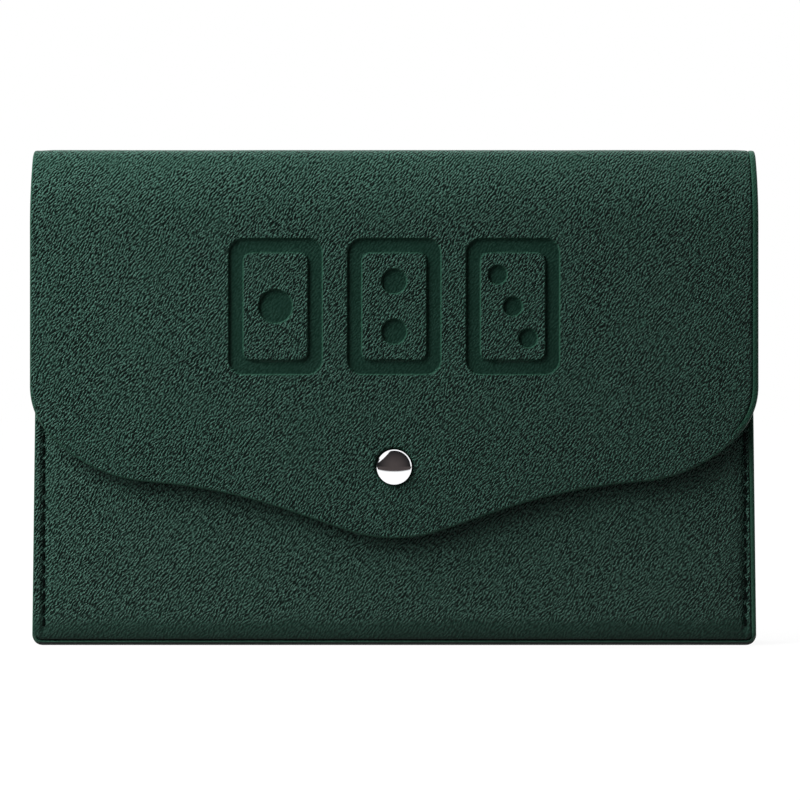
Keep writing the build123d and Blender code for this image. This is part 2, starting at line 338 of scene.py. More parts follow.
def fabric(name, main, weave=None):
    """Woven or napped cloth: crossed threads where weave gives their pitch in mm, else a soft nap."""
    made, n = material(name)
    at = n.decimetres()
    nap = n.noise(at, 260.0, 3.0)[0]
    patch = n.noise(at, 9.0, 4.0)[0]
    height = nap
    if weave:
        split = n("ShaderNodeSeparateXYZ", {0: at}).outputs
        turns = 2 * math.pi * 100 / weave
        warp = n.math("SINE", n.math("MULTIPLY", split["X"], turns))
        weft = n.math("SINE", n.math("MULTIPLY", split["Z"], turns))
        height = n.math("MULTIPLY_ADD", n.math("MULTIPLY", warp, weft), 0.5, nap)
    low, high, deep = (srgb(*(c * share for c in main)) for share in (0.88, 1.1, 0.6))
    colour = n.mix(n.ramp(patch, 0.3, 0.7), low, high)
    # Painted shade in the low parts of the weave and nap
    colour = n.mix(n.ramp(height, 0.2, 0.5, 0.35, 0.0), colour, deep)
    n.principled(colour, 0.95, n.bump(height, 0.6, 0.08 * MM), Sheen_Weight=0.35)
    return made


def metal(name, colour, rough, scratch=0.03):
    """Plated or bare metal with faint turning marks and handling haze."""
    made, n = material(name)
    at = n.decimetres()
    haze = n.noise(at, 40.0, 4.0)[0]
    fine = n.noise(at, 600.0, 2.0)[0]
    rough_map = n.math("MULTIPLY_ADD", haze, scratch * 2, rough - scratch)
    tint = n.mix(n.ramp(haze, 0.3, 0.7), scaled(srgb(*colour), 0.93), srgb(*colour))
    n.principled(tint, rough_map, n.bump(fine, 0.08, 0.01 * MM), Metallic=1.0)
    return made


def fibrous(name, scale, detail, dark, light, bump_mm, rough, **inputs):
    """Matt material with fine fibres between two colours."""
    made, n = material(name)
    fibre = n.noise(n.decimetres(), scale, detail)[0]
    colour = n.mix(n.ramp(fibre, 0.35, 0.65), srgb(*dark), srgb(*light))
    n.principled(colour, rough, n.bump(fibre, 0.4, bump_mm * MM), **inputs)
    return made


def clear_film(name):
    """Clear sheet with a slow ripple."""
    made, n = material(name)
    ripple = n.noise(n.decimetres(), 6.0, 2.0)[0]
    tint = n.mix(n.ramp(ripple, 0.3, 0.7), (0.93, 0.95, 0.95, 1), (0.98, 0.99, 0.99, 1))
    n.principled(tint, 0.08, n.bump(ripple, 0.5, 0.6 * MM), IOR=1.45, Alpha=0.22)
    return made


LEATHER_SKIN = grained_leather("leather_green")
# A darker copy of the same leather for the cover: painted shade that holds the flap and back darker than
# the front panel
LEATHER_COVER_SHADED = grained_leather("leather_green_cover_shaded", main=(22, 47, 38), band=(36, 67, 54),
                                valley_shade=(2, 18, 13), ridge_highlight=(67, 102, 90))
LEATHER_TRIM = grained_leather("leather_green_trim", sheet_map=False)
SUEDE = fabric("suede_dark", (38, 44, 40))
DIVIDER_CLOTH = fabric("cloth_black", (34, 36, 36), weave=0.7)
CHROME = metal("chrome", (232, 233, 235), 0.05, 0.015)
NICKEL = metal("nickel", (205, 200, 190), 0.18)
STEEL = metal("spring_wire", (150, 152, 155), 0.28)
THREAD = fibrous("thread_dark", 700.0, 3.0, (2, 6, 5), (10, 18, 15), 0.04, 0.7, Specular_IOR_Level=0.05)
FILM = clear_film("film_clear")
GREY_BOARD = fibrous("grey_board", 120.0, 5.0, (112, 108, 100), (134, 130, 121), 0.06, 0.9)


# ---- Mesh tools ----

def distance_to(points, loop, batch=2000):
    """Distance of each 2D point to a closed polyline."""
    run = np.roll(loop, -1, axis=0) - loop
    size = np.maximum((run**2).sum(1), 1e-12)
    out = np.empty(len(points))
    for start in range(0, len(points), batch):
        rel = points[start:start + batch, None, :] - loop[None]
        t = np.clip((rel * run[None]).sum(2) / size, 0, 1)
        gap = rel - t[..., None] * run[None]
        out[start:start + batch] = np.sqrt((gap**2).sum(2)).min(1)
    return out


def inside(points, loop):
    """Whether each 2D point is within a closed polyline."""
    result = np.zeros(len(points), bool)
    x, y = points[:, 0], points[:, 1]
    for (x1, y1), (x2, y2) in zip(loop, np.roll(loop, -1, axis=0)):
        if y1 == y2:
            continue
        crosses = (y1 > y) != (y2 > y)
        at = x1 + (y - y1) * (x2 - x1) / (y2 - y1)
        result ^= crosses & (x < at)
    return result


def rows_along(loop, distances):
    """Points at set distances inside a counterclockwise loop, in rows that follow it."""
    before, after = np.roll(loop, 1, axis=0), np.roll(loop, -1, axis=0)
    run = after - before
    run /= np.linalg.norm(run, axis=1)[:, None]
    inward = np.stack([-run[:, 1], run[:, 0]], 1)
    rows = []
    for d in distances:
        row = loop + d * inward
        true = distance_to(row, loop)
        rows.append(row[np.abs(true - d) < 0.03 + 0.02 * d])
    return np.concatenate(rows)


def grid(x_values, y_values):
    xs, ys = np.meshgrid(x_values, y_values)
    return np.stack([xs.ravel(), ys.ravel()], 1)


def steps(start, stop, size):
    count = max(1, int(round((stop - start) / size)))
    return np.linspace(start, stop, count + 1)


def beyond(points, centre, radius):
    """The points that are farther from a centre than the radius."""
    return points[np.hypot(points[:, 0] - centre[0], points[:, 1] - centre[1]) > radius]


def even_marks(count, edge):
    """Marks of a surface with its full grain and one value of the edge mark."""
    return np.stack([np.zeros(count), np.full(count, edge)], 1)


def circle(centre, radius, count):
    angle = np.arange(count) * 2 * math.pi / count
    return np.stack([centre[0] + radius * np.cos(angle), centre[1] + radius * np.sin(angle)], 1)


class Shell:
    """Collects points with their sheet map and marks, and faces, and makes an object of them."""

    def __init__(self):
        self.co, self.uv, self.marks, self.faces = [], [], [], []
        self.count = 0

    def add(self, co, uv, marks):
        start = self.count
        self.co.append(np.asarray(co, float))
        self.uv.append(np.asarray(uv, float))
        self.marks.append(np.asarray(marks, float))
        self.count += len(co)
        return np.arange(start, self.count)

    def patch(self, place, loop, points, holes=(), flip=False):
        """Triangulated surface within a loop, round holes. Returns the loop's and the holes' indices."""
        loops = [loop, *holes]
        edges = []
        base = 0
        for ring in loops:
            edges += [(base + i, base + (i + 1) % len(ring)) for i in range(len(ring))]
            base += len(ring)
        flat = np.concatenate(loops + [points])
        out = delaunay_2d_cdt([Vector(p) for p in flat], edges, [], 0, 1e-5)
        where = np.full(len(flat), -1)
        for new, olds in enumerate(out[3]):
            for old in olds:
                where[old] = new
        verts = np.array([tuple(v) for v in out[0]])
        tris = np.array([f for f in out[2] if len(f) == 3])
        middle = verts[tris].mean(1)
        keep = inside(middle, loop)
        for hole in holes:
            keep &= ~inside(middle, hole)
        tris = tris[keep]
        a, b, c = (verts[tris[:, i]] for i in range(3))
        area = (b[:, 0] - a[:, 0]) * (c[:, 1] - a[:, 1]) - (b[:, 1] - a[:, 1]) * (c[:, 0] - a[:, 0])
        turn = (area < 0) != flip
        tris[turn] = tris[turn][:, ::-1]
        index = self.add(*place(verts))
        self.faces += [tuple(index[t]) for t in tris]
        rings, base = [], 0
        for ring in loops:
            rings.append(index[where[base:base + len(ring)]])
            base += len(ring)
        return rings

    def strip(self, first, second, flip=False):
        """Quads between two closed rings of equal count."""
        for i in range(len(first)):
            j = (i + 1) % len(first)
            face = (first[i], first[j], second[j], second[i])
            self.faces.append(face[::-1] if flip else face)

    def make(self, name, look, body=None):
        mesh = bpy.data.meshes.new(name)
        co = np.concatenate(self.co) * MM
        uv = np.concatenate(self.uv) * 0.01
        marks = np.concatenate(self.marks)
        mesh.from_pydata(co.tolist(), [], [tuple(int(i) for i in f) for f in self.faces])
        layer = mesh.uv_layers.new(name="Sheet")
        corner = np.empty(len(mesh.loops), int)
        mesh.loops.foreach_get("vertex_index", corner)
        layer.data.foreach_set("uv", uv[corner].astype(np.float32).ravel())
        for i, key in enumerate(("smooth", "edge")):
            attribute = mesh.attributes.new(key, "FLOAT", "POINT")
            attribute.data.foreach_set("value", marks[:, i].astype(np.float32))
        return finish_mesh(name, mesh, look, body)


def finish_mesh(name, mesh, look, body=None, sharp=42.0):
    mesh.validate()
    mesh.shade_smooth()
    mesh.set_sharp_from_angle(angle=math.radians(sharp))
    mesh.materials.append(look)
    obj = bpy.data.objects.new(name, mesh)
    scene.collection.objects.link(obj)
    if body:
        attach(obj, body)
    return obj


def smoothstep(low, high, value):
    t = np.clip((value - low) / (high - low), 0, 1)
    return t * t * (3 - 2 * t)


# ---- The cover: back, fold and flap in one skin ----

def fold_place(x, t, depth):
    """Place on the cover. t is the length from the fold, positive down the flap, negative down the back."""
    a = np.abs(t)
    side = np.where(t > 0, -1.0, 1.0)
    fold = math.pi / 2 - a / FOLD_R
    shoulder = TURN - (a - FOLD_LEN) / SHOULDER_R
    shoulder_y = HALF_DEPTH - SHOULDER_R + (SHOULDER_R - depth) * np.cos(shoulder)
    shoulder_z = SHOULDER_Z + (SHOULDER_R - depth) * np.sin(shoulder)
    y = np.where(a < TOP_LEN, shoulder_y, HALF_DEPTH - depth)
    y = np.where(a < FOLD_LEN, (FOLD_R - depth) * np.cos(fold), y)
    z = np.where(a < TOP_LEN, shoulder_z, SHOULDER_Z - (a - TOP_LEN))
    z = np.where(a < FOLD_LEN, FOLD_Z + (FOLD_R - depth) * np.sin(fold), z)
    return np.stack([x, MID_Y + side * y, z], 1)


FLAP_SLOPES = (18.8, 4.3, 48.0, 90.0)
FLAP_RADII = (44.3, 174.0, 44.9, 21.0)
ARC_STEP = 1.1


def flap_edge():
    """Right half of the flap's lower edge in front view, from the tip to the side."""
    tip, hollow, lobe, end = (math.radians(v) for v in FLAP_SLOPES)
    radii = FLAP_RADII
    used = radii[0] * math.sin(tip) + radii[1] * (math.sin(tip) - math.sin(hollow))
    used += radii[2] * (math.sin(lobe) - math.sin(hollow)) + radii[3] * (1 - math.sin(lobe))
    run = HALF - used
    points = [np.array([0.0, TIP_Z])]

    def swing(radius, begin, stop, bend):
        start = points[-1]
        count = max(3, int(radius * abs(stop - begin) / ARC_STEP))
        for angle in np.linspace(begin, stop, count + 1)[1:]:
            x = start[0] + bend * radius * (math.sin(angle) - math.sin(begin))
            z = start[1] + bend * radius * (math.cos(begin) - math.cos(angle))
            points.append(np.array([x, z]))

    swing(radii[0], 0, tip, 1)
    start = points[-1]
    for share in np.linspace(0, 1, int(run / ARC_STEP) + 1)[1:]:
        points.append(start + share * run * np.array([1, math.tan(tip)]))
    swing(radii[1], tip, hollow, -1)
    swing(radii[2], hollow, lobe, 1)
    swing(radii[3], lobe, end, 1)
    return np.array(points)


def down(t_or_z):
    """Length along the flap from the fold to a height on its flat part, or back again."""
    return TOP_LEN + SHOULDER_Z - t_or_z


def lower_corner(turn):
    """Points on the rounded right lower corner of a panel that stands on zero."""
    return np.stack([HALF - CORNER_R + CORNER_R * np.sin(turn), CORNER_R - CORNER_R * np.cos(turn)], 1)


def cover_outline():
    """Counterclockwise outline of the whole cover in x and t."""
    half = flap_edge()
    right = np.stack([half[:, 0], down(half[:, 1])], 1)
    low = -(TOP_LEN + SHOULDER_Z)
    side = steps(low + CORNER_R, right[-1, 1], 1.4)[1:-1]
    corner = lower_corner(np.linspace(0, math.pi / 2, 7)) + (0, low)
    bottom = steps(-(HALF - CORNER_R), HALF - CORNER_R, 1.4)[1:-1]
    flap_side = np.concatenate([right[::-1][1:], right[1:-1] * (-1, 1)])
    return np.concatenate([
        np.stack([bottom, np.full(len(bottom), low)], 1),
        corner,
        np.stack([np.full(len(side), HALF), side], 1),
        right[-1:],
        flap_side,
        right[-1:] * (-1, 1),
        np.stack([np.full(len(side), -HALF), side[::-1]], 1),
        (corner * (-1, 1))[::-1],
    ])


# Pressed motif on the flap: three plain upright tiles with one, two and three round spots
TILE_HALF = (14.2, 20.6)
TILE_STEP = 35.8
TILE_R = 4.5
TILE_IN_R = TILE_R - 2.0
STROKE = 4.5
MOTIF_Z = 102.7
PRESS = 0.8
SUNK = 0.6
SPOTS = (
    (-TILE_STEP, 0, 5.2),
    (0, 7.6, 3.9), (0, -7.6, 3.9),
    (TILE_STEP - 4.6, 9.6, 3.0), (TILE_STEP, 0, 3.0), (TILE_STEP + 4.6, -9.6, 3.0),
)


def rounded(points, centre, half, radius):
    """Signed distance to a rounded rectangle, negative inside."""
    q = np.abs(points - centre) - np.array(half) + radius
    outer = np.sqrt((np.maximum(q, 0)**2).sum(1))
    return outer + np.minimum(q.max(1), 0) - radius


def rounded_loop(centre, half, radius, spacing=0.8):
    """Points along a rounded rectangle."""
    loop = []
    for sx, sy, first in ((1, 1, 0), (-1, 1, 1), (-1, -1, 2), (1, -1, 3)):
        for angle in np.linspace(first, first + 1, max(3, int(radius * 1.6 / spacing) + 2)) * math.pi / 2:
            loop.append((centre[0] + sx * (half[0] - radius) + radius * math.cos(angle),
                         centre[1] + sy * (half[1] - radius) + radius * math.sin(angle)))
    loop = np.array(loop)
    dense = []
    for a, b in zip(loop, np.roll(loop, -1, axis=0)):
        gap = np.linalg.norm(b - a)
        dense += [a + (b - a) * s for s in np.arange(0, 1, 1 / max(1, int(gap / spacing)))]
    return np.array(dense)


def motif_distance(points):
    """Signed distance to the pressed strokes and spots, in x and height."""
    gap = np.full(len(points), 1e3)
    for i in (-1, 0, 1):
        centre = (i * TILE_STEP, MOTIF_Z)
        outer = rounded(points, centre, TILE_HALF, TILE_R)
        inner_half = (TILE_HALF[0] - STROKE, TILE_HALF[1] - STROKE)
        inner = rounded(points, centre, inner_half, TILE_IN_R)
        gap = np.minimum(gap, np.maximum(outer, -inner))
    for x, z, radius in SPOTS:
        gap = np.minimum(gap, np.hypot(points[:, 0] - x, points[:, 1] - MOTIF_Z - z) - radius)
    return gap


WALL_ROWS = (0.45, 0.16, 0.02, -0.12, -0.30, -0.7)


def motif_rows():
    """Points along every wall of the motif, so that its edges are crisp."""
    rows = []
    for i in (-1, 0, 1):
        centre = (i * TILE_STEP, MOTIF_Z)
        for d in WALL_ROWS:
            rows.append(rounded_loop(centre, (TILE_HALF[0] + d, TILE_HALF[1] + d), TILE_R + d))
            inner = (TILE_HALF[0] - STROKE - d, TILE_HALF[1] - STROKE - d)
            rows.append(rounded_loop(centre, inner, max(0.6, TILE_IN_R - d)))
    for x, z, radius in SPOTS:
        for d in WALL_ROWS:
            count = max(16, int(2 * math.pi * radius / 0.8))
            rows.append(circle((x, MOTIF_Z + z), radius + d, count))
    return np.concatenate(rows)


def edge_fall(d, radius):
    """How far a rounded edge of that radius falls below the face at distance d from the edge."""
    near = np.clip(radius - d, 0, radius)
    return radius - np.sqrt(radius**2 - near**2)


def waves(x, t, size):
    """Slow unevenness of stretched leather."""
    slow = np.sin(x / 19.0 + 1.3) * np.cos(t / 27.0 + 0.4)
    return size * (slow + 0.6 * np.sin(x / 8.7 + t / 13.1) + 0.4 * np.cos(x / 5.3 - t / 7.9)) / 2


def seam_press(x, z):
    """Groove that the stitches pull into the leather, with a dimple at each needle hole."""
    off = np.abs(x) - SEAM_X
    within = smoothstep(3.6, 5.6, z) * smoothstep(124, 121.5, z)
    groove = 0.26 * np.exp(-(off / 0.70)**2)
    phase = (z - SEAM_BOTTOM + (PITCH - STITCH) / 2) / PITCH
    hole = np.abs(phase - np.round(phase)) * PITCH
    dimple = 0.20 * np.exp(-(off / 0.42)**2 - (hole / 0.5)**2)
    return (groove + dimple) * within


EDGE_R = 0.7
SIDE_LINE = 1.9
FRONT_LINE = 1.5
CAP_SEAT = (5.5, 6.3)
CAP_SHADE = (5.6, 5.95)
COVER_ROWS = (0.12, 0.28, 0.48, 0.72, 1.1, 1.45, 1.66, 1.9, 2.14, 2.4, 3.0, 3.9)
FRONT_ROWS = (0.10, 0.24, 0.42, 0.62, 0.9, 1.15, 1.35, 1.5, 1.65, 1.85, 2.15, 2.6)
PILLOW_ROWS = (104.6, 104.1, 103.3, 102.2, 101.0, 99.4)
CAP_ROWS = (4.6, 5.35, 5.6, 5.85, 6.1, 6.4, 7.0)
SEAM_ROWS = (-1.5, -1.05, -0.7, -0.42, -0.2, 0, 0.2, 0.42, 0.7, 1.05)
SEAM_Z = steps(4.5, 122.5, 0.5)
COVER = cover_outline()
STUD_AT = (0, down(STUD_Z))


def seam_points(heights):
    """Rows of points along both seams, close together across the groove."""
    return np.concatenate([grid([side * (SEAM_X + off) for off in SEAM_ROWS], heights) for side in (-1, 1)])


def cover_place(points):
    """Face of the cover: rounded edges, ruled lines, motif, seams and the seat of the cap."""
    x, t = points[:, 0], points[:, 1]
    d = distance_to(points, COVER)
    z = down(t)
    on_flap = smoothstep(2, 12, t)
    lower_edge = smoothstep(20, 4, HALF - np.abs(x)) * smoothstep(60, 72, z)
    straight = np.where(t < 0, 1.0, lower_edge)
    line = np.exp(-((d - SIDE_LINE) / 0.22)**2) * straight * (0.1 + 0.9 * smoothstep(-40, 60, x))
    gap = motif_distance(np.stack([x, z], 1))
    pressed = smoothstep(0.15, -0.30, gap) * on_flap
    lip = np.exp(-((gap - 0.45) / 0.4)**2) * 0.05 * on_flap
    raised = 0.16 * (smoothstep(1.2, 6.5, d) - 1)
    low = edge_fall(d, EDGE_R) + 0.38 * line + PRESS * pressed - lip - raised
    low = low + seam_press(x, TOP_LEN + SHOULDER_Z + t) * (t < -TOP_LEN)
    low = low - waves(x, t, 0.07) * smoothstep(2, 10, d) * (1 - pressed)
    from_stud = np.hypot(x, z - STUD_Z)
    low = low + SUNK * smoothstep(CAP_SEAT[1], CAP_SEAT[0], from_stud) * on_flap
    low = np.maximum(low, 0)
    ruled = straight * smoothstep(-40, 60, x * np.where(t < 0, -1, 1))
    edge = np.maximum(smoothstep(0.75, 0.35, d), smoothstep(2.2, 1.7, d) * ruled)
    # Painted shadow of the cap: a near-black ring round its foot
    edge = np.maximum(edge, 2 * smoothstep(CAP_SHADE[1], CAP_SHADE[0], from_stud) * on_flap)
    # Lighter edge colour along the motif's walls: painted highlight on the pressed rims, with the grain
    # calmed where the leather is pressed
    edge = np.maximum(edge, np.exp(-((gap + 0.07) / 0.17)**2) * on_flap)
    smooth = np.maximum(np.maximum(pressed, 0.6 * line), 0.4 * smoothstep(16, 6, np.abs(t)))
    return fold_place(x, t, low), np.stack([x, -t], 1), np.stack([smooth, edge], 1)


def at_depth(depth, edge=0.0):
    """Places points on the cover at one depth under its face."""
    def place(points):
        x, t = points[:, 0], points[:, 1]
        return fold_place(x, t, np.full(len(x), depth)), np.stack([x, -t], 1), even_marks(len(x), edge)
    return place


def fold_rows(step_far):
    """Lengths along the cover, close together at the fold and wider away from it."""
    top = np.concatenate([steps(0, 9, 0.45), steps(9, TOP_LEN, 1.1)[1:]])
    flap = steps(TOP_LEN, COVER[:, 1].max(), step_far)[1:]
    back = steps(TOP_LEN, -COVER[:, 1].min(), step_far)[1:]
    return np.concatenate([-back[::-1], -top[:0:-1], top, flap])


def keep_clear(points, loop, least):
    """Points within the loop that stay at least that far from it."""
    points = points[inside(points, loop)]
    return points[distance_to(points, loop) > least]


def cover_skin():
    shell = Shell()
    rows = rows_along(COVER, COVER_ROWS)
    motif = motif_rows()
    motif = np.stack([motif[:, 0], down(motif[:, 1])], 1)
    spread = keep_clear(grid(steps(-HALF, HALF, 1.9), fold_rows(1.9)), COVER, 4.6)
    seam_t = SEAM_Z - TOP_LEN - SHOULDER_Z
    seam = keep_clear(seam_points(seam_t), COVER, 2.45)
    by_seam = (rows[:, 1] < seam_t[-1] + 0.6) & (np.abs(rows[:, 0]) > SEAM_X - 2.6)
    rows = rows[~(by_seam & (distance_to(rows, COVER) > 2.45))]
    spread = spread[(spread[:, 1] > seam_t[-1] + 0.6) | (np.abs(spread[:, 0]) < SEAM_X - 1.9)]
    from_motif = np.abs(motif_distance(np.stack([spread[:, 0], down(spread[:, 1])], 1)))
    spread = spread[(from_motif > 0.95) | (spread[:, 1] < 0)]
    hole = circle(STUD_AT, 1.6, 24)
    under_cap = np.concatenate([circle(STUD_AT, radius, 48) for radius in CAP_ROWS])
    spread = beyond(spread, STUD_AT, 7.6)
    points = np.concatenate([rows, motif, seam, under_cap, spread])
    outer, hole_out = shell.patch(cover_place, COVER, points, [hole])

    rim_loop = offset_loop(COVER, RIM)
    sides = [outer]
    for d, depth in ((0.0, 0.9), (0.0, 1.5), (0.10, 1.85), (0.35, 2.12), (0.7, SHEET)):
        sides.append(shell.add(*at_depth(depth, 1.0)(offset_loop(COVER, d))))
    sides.append(shell.add(*at_depth(SHEET, 0.6)(rim_loop)))
    sides.append(shell.add(*at_depth(LEATHER, 0.2)(rim_loop)))
    inner_points = keep_clear(grid(steps(-HALF, HALF, 5), fold_rows(5)), rim_loop, 0.5)
    inner_points = beyond(inner_points, STUD_AT, 2.4)
    inner, hole_in = shell.patch(at_depth(LEATHER), rim_loop, inner_points, [hole], flip=True)
    for a, b in zip(sides, sides[1:]):
        shell.strip(a, b, flip=True)
    shell.strip(sides[-1], inner, flip=True)
    shell.strip(hole_out, hole_in)
    return shell.make("cover_skin", LEATHER_COVER_SHADED)


def offset_loop(loop, d):
    """The loop moved inwards by d, with as many points."""
    if d == 0:
        return loop.copy()
    before, after = np.roll(loop, 1, axis=0), np.roll(loop, -1, axis=0)
    a = loop - before
    b = after - loop
    a /= np.linalg.norm(a, axis=1)[:, None]
    b /= np.linalg.norm(b, axis=1)[:, None]
    run = a + b
    run /= np.linalg.norm(run, axis=1)[:, None]
    inward = np.stack([-run[:, 1], run[:, 0]], 1)
    bend = np.clip((run * a).sum(1), 0.5, 1)
    return loop + inward * (d / bend)[:, None]


def ride_over_fold(obj, slot, *nodes):
    """Bake a skin of the cover where it stands and hide the rigid layers that it stands for."""
    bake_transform(obj)
    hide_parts(*nodes)


ride_over_fold(cover_skin(), "grained_leather", "back_leather", "flap_leather")


def lining_outline():
    """Outline of the cover's lining: inside the rim, and narrower between the seams of the pouch."""
    loop = offset_loop(COVER, RIM + 0.05)
    mouth = -TOP_LEN
    points = []
    for (x1, t1), (_, t2) in zip(loop, np.roll(loop, -1, axis=0)):
        below = t1 < mouth
        points.append((np.clip(x1, -LINING_HALF, LINING_HALF) if below else x1, t1))
        if below != (t2 < mouth):
            wide = math.copysign(HALF - RIM - 0.05, x1)
            narrow = math.copysign(LINING_HALF, x1)
            step = [(narrow, mouth), (wide, mouth)]
            points += step if below else step[::-1]
    kept = [points[0]]
    for point in points[1:]:
        if math.dist(point, kept[-1]) > 0.05:
            kept.append(point)
    return np.array(kept)


def inner_skin(name, look, outer_d, inner_d):
    """A layer that lines the cover all the way over the fold, open round the stud's socket."""
    shell = Shell()
    loop = lining_outline()
    spread = keep_clear(grid(steps(-HALF, HALF, 3), fold_rows(3)), loop, 0.8)
    hole = circle(STUD_AT, 4.95, 40)
    spread = beyond(spread, STUD_AT, 5.8)
    seen, hole_seen = shell.patch(at_depth(inner_d), loop, spread, [hole], flip=True)
    hidden, hole_hidden = shell.patch(at_depth(outer_d), loop, spread, [hole])
    shell.strip(hidden, seen, flip=True)
    shell.strip(hole_hidden, hole_seen)
    return shell.make(name, look)


lining = inner_skin("cover_lining", SUEDE, LEATHER + BOARD + 0.01, SHEET)
ride_over_fold(lining, "lining_suede", "back_lining", "flap_lining")
stiffening = inner_skin("cover_board", GREY_BOARD, LEATHER + 0.01, LEATHER + BOARD - 0.01)
ride_over_fold(stiffening, "stiffening_board", "back_board", "flap_board")


# ---- Front panel of the pouch ----

def front_outline(top=MOUTH_Z):
    """Counterclockwise outline of the front panel in x and height."""
    lean = FRONT_INSET / MOUTH_Z
    bottom = steps(-(HALF - CORNER_R), HALF - CORNER_R, 1.3)
    corner = lower_corner(np.linspace(0, math.pi / 2, 7)[1:])
    side_z = steps(CORNER_R, top, 1.3)[1:]
    side = np.stack([HALF - lean * side_z, side_z], 1)
    top_half = HALF - lean * top
    over = steps(top_half, -top_half, 1.3)[1:-1]
    return np.concatenate([
        np.stack([bottom, np.zeros(len(bottom))], 1), corner, side,
        np.stack([over, np.full(len(over), top)], 1),
        (side * (-1, 1))[::-1], (corner * (-1, 1))[::-1],
    ])


FRONT = front_outline()
FRONT_OPEN = front_outline(HEIGHT)
STITCHES = [SEAM_BOTTOM + STITCH / 2 + i * PITCH for i in range(STITCH_COUNT)]


def front_height(points):
    """Height of the front panel's face over its flat margin, and its marks."""
    x, z = points[:, 0], points[:, 1]
    d = distance_to(points, FRONT_OPEN)
    side = np.maximum(SEAM_X - 0.6 - np.abs(x), 0)
    low = np.maximum(z - 2.6, 0)
    pillow = (1 - np.exp(-side / 2.8)) * (1 - np.exp(-low / 4.2))
    ruled = np.maximum(smoothstep(-40, 60, x), smoothstep(4.0, 1.8, z))
    line = np.exp(-((d - FRONT_LINE) / 0.26)**2) * ruled
    foot = smoothstep(4.0, 1.8, z)
    bevel = foot * 0.95 * np.clip(1 - d / 1.1, 0, 1) + (1 - foot) * edge_fall(d, 0.6)
    welt = 0.35 * smoothstep(0.2, 1.3, np.abs(x) - SEAM_X) * smoothstep(1.5, 4.0, z)
    height = BOARD * pillow + welt - bevel - (0.34 + 0.34 * foot) * line - seam_press(x, z)
    height = height + waves(x, z, 0.05) * smoothstep(6, 14, d) - 0.04 * smoothstep(6, 14, d)
    mouth = edge_fall(MOUTH_Z - z, 0.6)
    height = np.minimum(height - mouth, BOARD)
    edge = np.maximum(smoothstep(0.6, 0.25, d), smoothstep(1.75, 1.4, d) * ruled)
    # Near-black painted shade on the bottom lip, which faces down
    edge = edge * (1 + smoothstep(1.2, 0.7, z))
    # Near-black painted shade in the groove along the foot
    edge = np.maximum(edge, 1.8 * np.exp(-((d - FRONT_LINE - 0.05) / 0.2)**2) * foot)
    calm = np.maximum(0.6 * line, 0.8 * smoothstep(11.0, 5.0, z))
    above = smoothstep(1.38, 1.5, d)
    shade = 0.18 * smoothstep(9.5, 6.5, z) + 0.62 * np.exp(-np.maximum(z - 1.5, 0) / 1.6)
    edge = np.where(edge > 0.02, edge, -shade * above * smoothstep(15.0, 12.0, z))
    # Dark painted shade in the groove along the foot
    calm = np.maximum(calm, 2 * above * smoothstep(2.1, 1.85, d) * foot)
    return height, np.stack([calm, edge], 1)


def front_place(points):
    """Face of the front panel."""
    height, marks = front_height(points)
    return np.stack([points[:, 0], MARGIN_Y - height, points[:, 1]], 1), points, marks


def flat_at(y, edge=0.0):
    """Places points in x and height on an upright plane."""
    def place(points):
        level = np.full(len(points), y)
        return np.stack([points[:, 0], level, points[:, 1]], 1), points, even_marks(len(points), edge)
    return place


def front_skin():
    shell = Shell()
    rows = rows_along(FRONT, FRONT_ROWS)
    seam = keep_clear(seam_points(SEAM_Z), FRONT, 2.8)
    spread_x = np.concatenate([[-a, a] for a in PILLOW_ROWS] + [steps(-97.5, 97.5, 1.9)])
    spread = keep_clear(grid(spread_x, steps(3.6, 122.4, 1.6)), FRONT, 3.1)
    hole = circle((0, STUD_Z), 1.3, 24)
    spread = beyond(spread, (0, STUD_Z), 2.2)
    outer, hole_out = shell.patch(front_place, FRONT, np.concatenate([rows, seam, spread]), [hole])

    rings = [outer]
    face = MARGIN_Y - front_height(FRONT)[0]
    for share, inset in ((0.35, 0.0), (0.7, 0.0), (0.9, 0.06), (1.0, 0.22)):
        co, uv, marks = flat_at(0, 1.0)(offset_loop(FRONT, inset))
        co[:, 1] = face + share * (FRONT_SEAM_Y - face)
        rings.append(shell.add(co, uv, marks))
    board_top = MOUTH_Z - RIM
    board = np.array([(-BOARD_HALF, BOARD_LOW), (BOARD_HALF, BOARD_LOW),
                      (BOARD_HALF, board_top), (-BOARD_HALF, board_top)])
    board = np.concatenate([a + (b - a) * np.linspace(0, 1, 25)[:-1, None]
                            for a, b in zip(board, np.roll(board, -1, axis=0))])
    margin = flat_at(FRONT_SEAM_Y, 0.3)
    rim, step_low = shell.patch(margin, offset_loop(FRONT, 0.5), np.empty((0, 2)), [board], flip=True)
    spread = keep_clear(grid(steps(-HALF, HALF, 8), steps(0, MOUTH_Z, 8)), board, 3)
    deep, hole_in = shell.patch(flat_at(FRONT_Y + LEATHER), board, spread, [hole], flip=True)
    for a, b in zip(rings, rings[1:]):
        shell.strip(a, b, flip=True)
    shell.strip(rings[-1], rim, flip=True)
    shell.strip(step_low, deep, flip=True)
    shell.strip(hole_out, hole_in)
    bar(shell, -LINING_HALF, LINING_HALF, [
        (FRONT_SEAM_Y - 0.3, MOUTH_Z - 0.04), (FRONT_SEAM_Y - 0.3, MOUTH_Z - RIM),
        (FRONT_IN_Y - 0.12, MOUTH_Z - RIM), (FRONT_IN_Y, MOUTH_Z - RIM + 0.12),
        (FRONT_IN_Y, MOUTH_Z - 0.35), (FRONT_IN_Y - 0.12, MOUTH_Z - 0.12),
    ])
    return shell.make("front_skin", LEATHER_SKIN, "pouch")


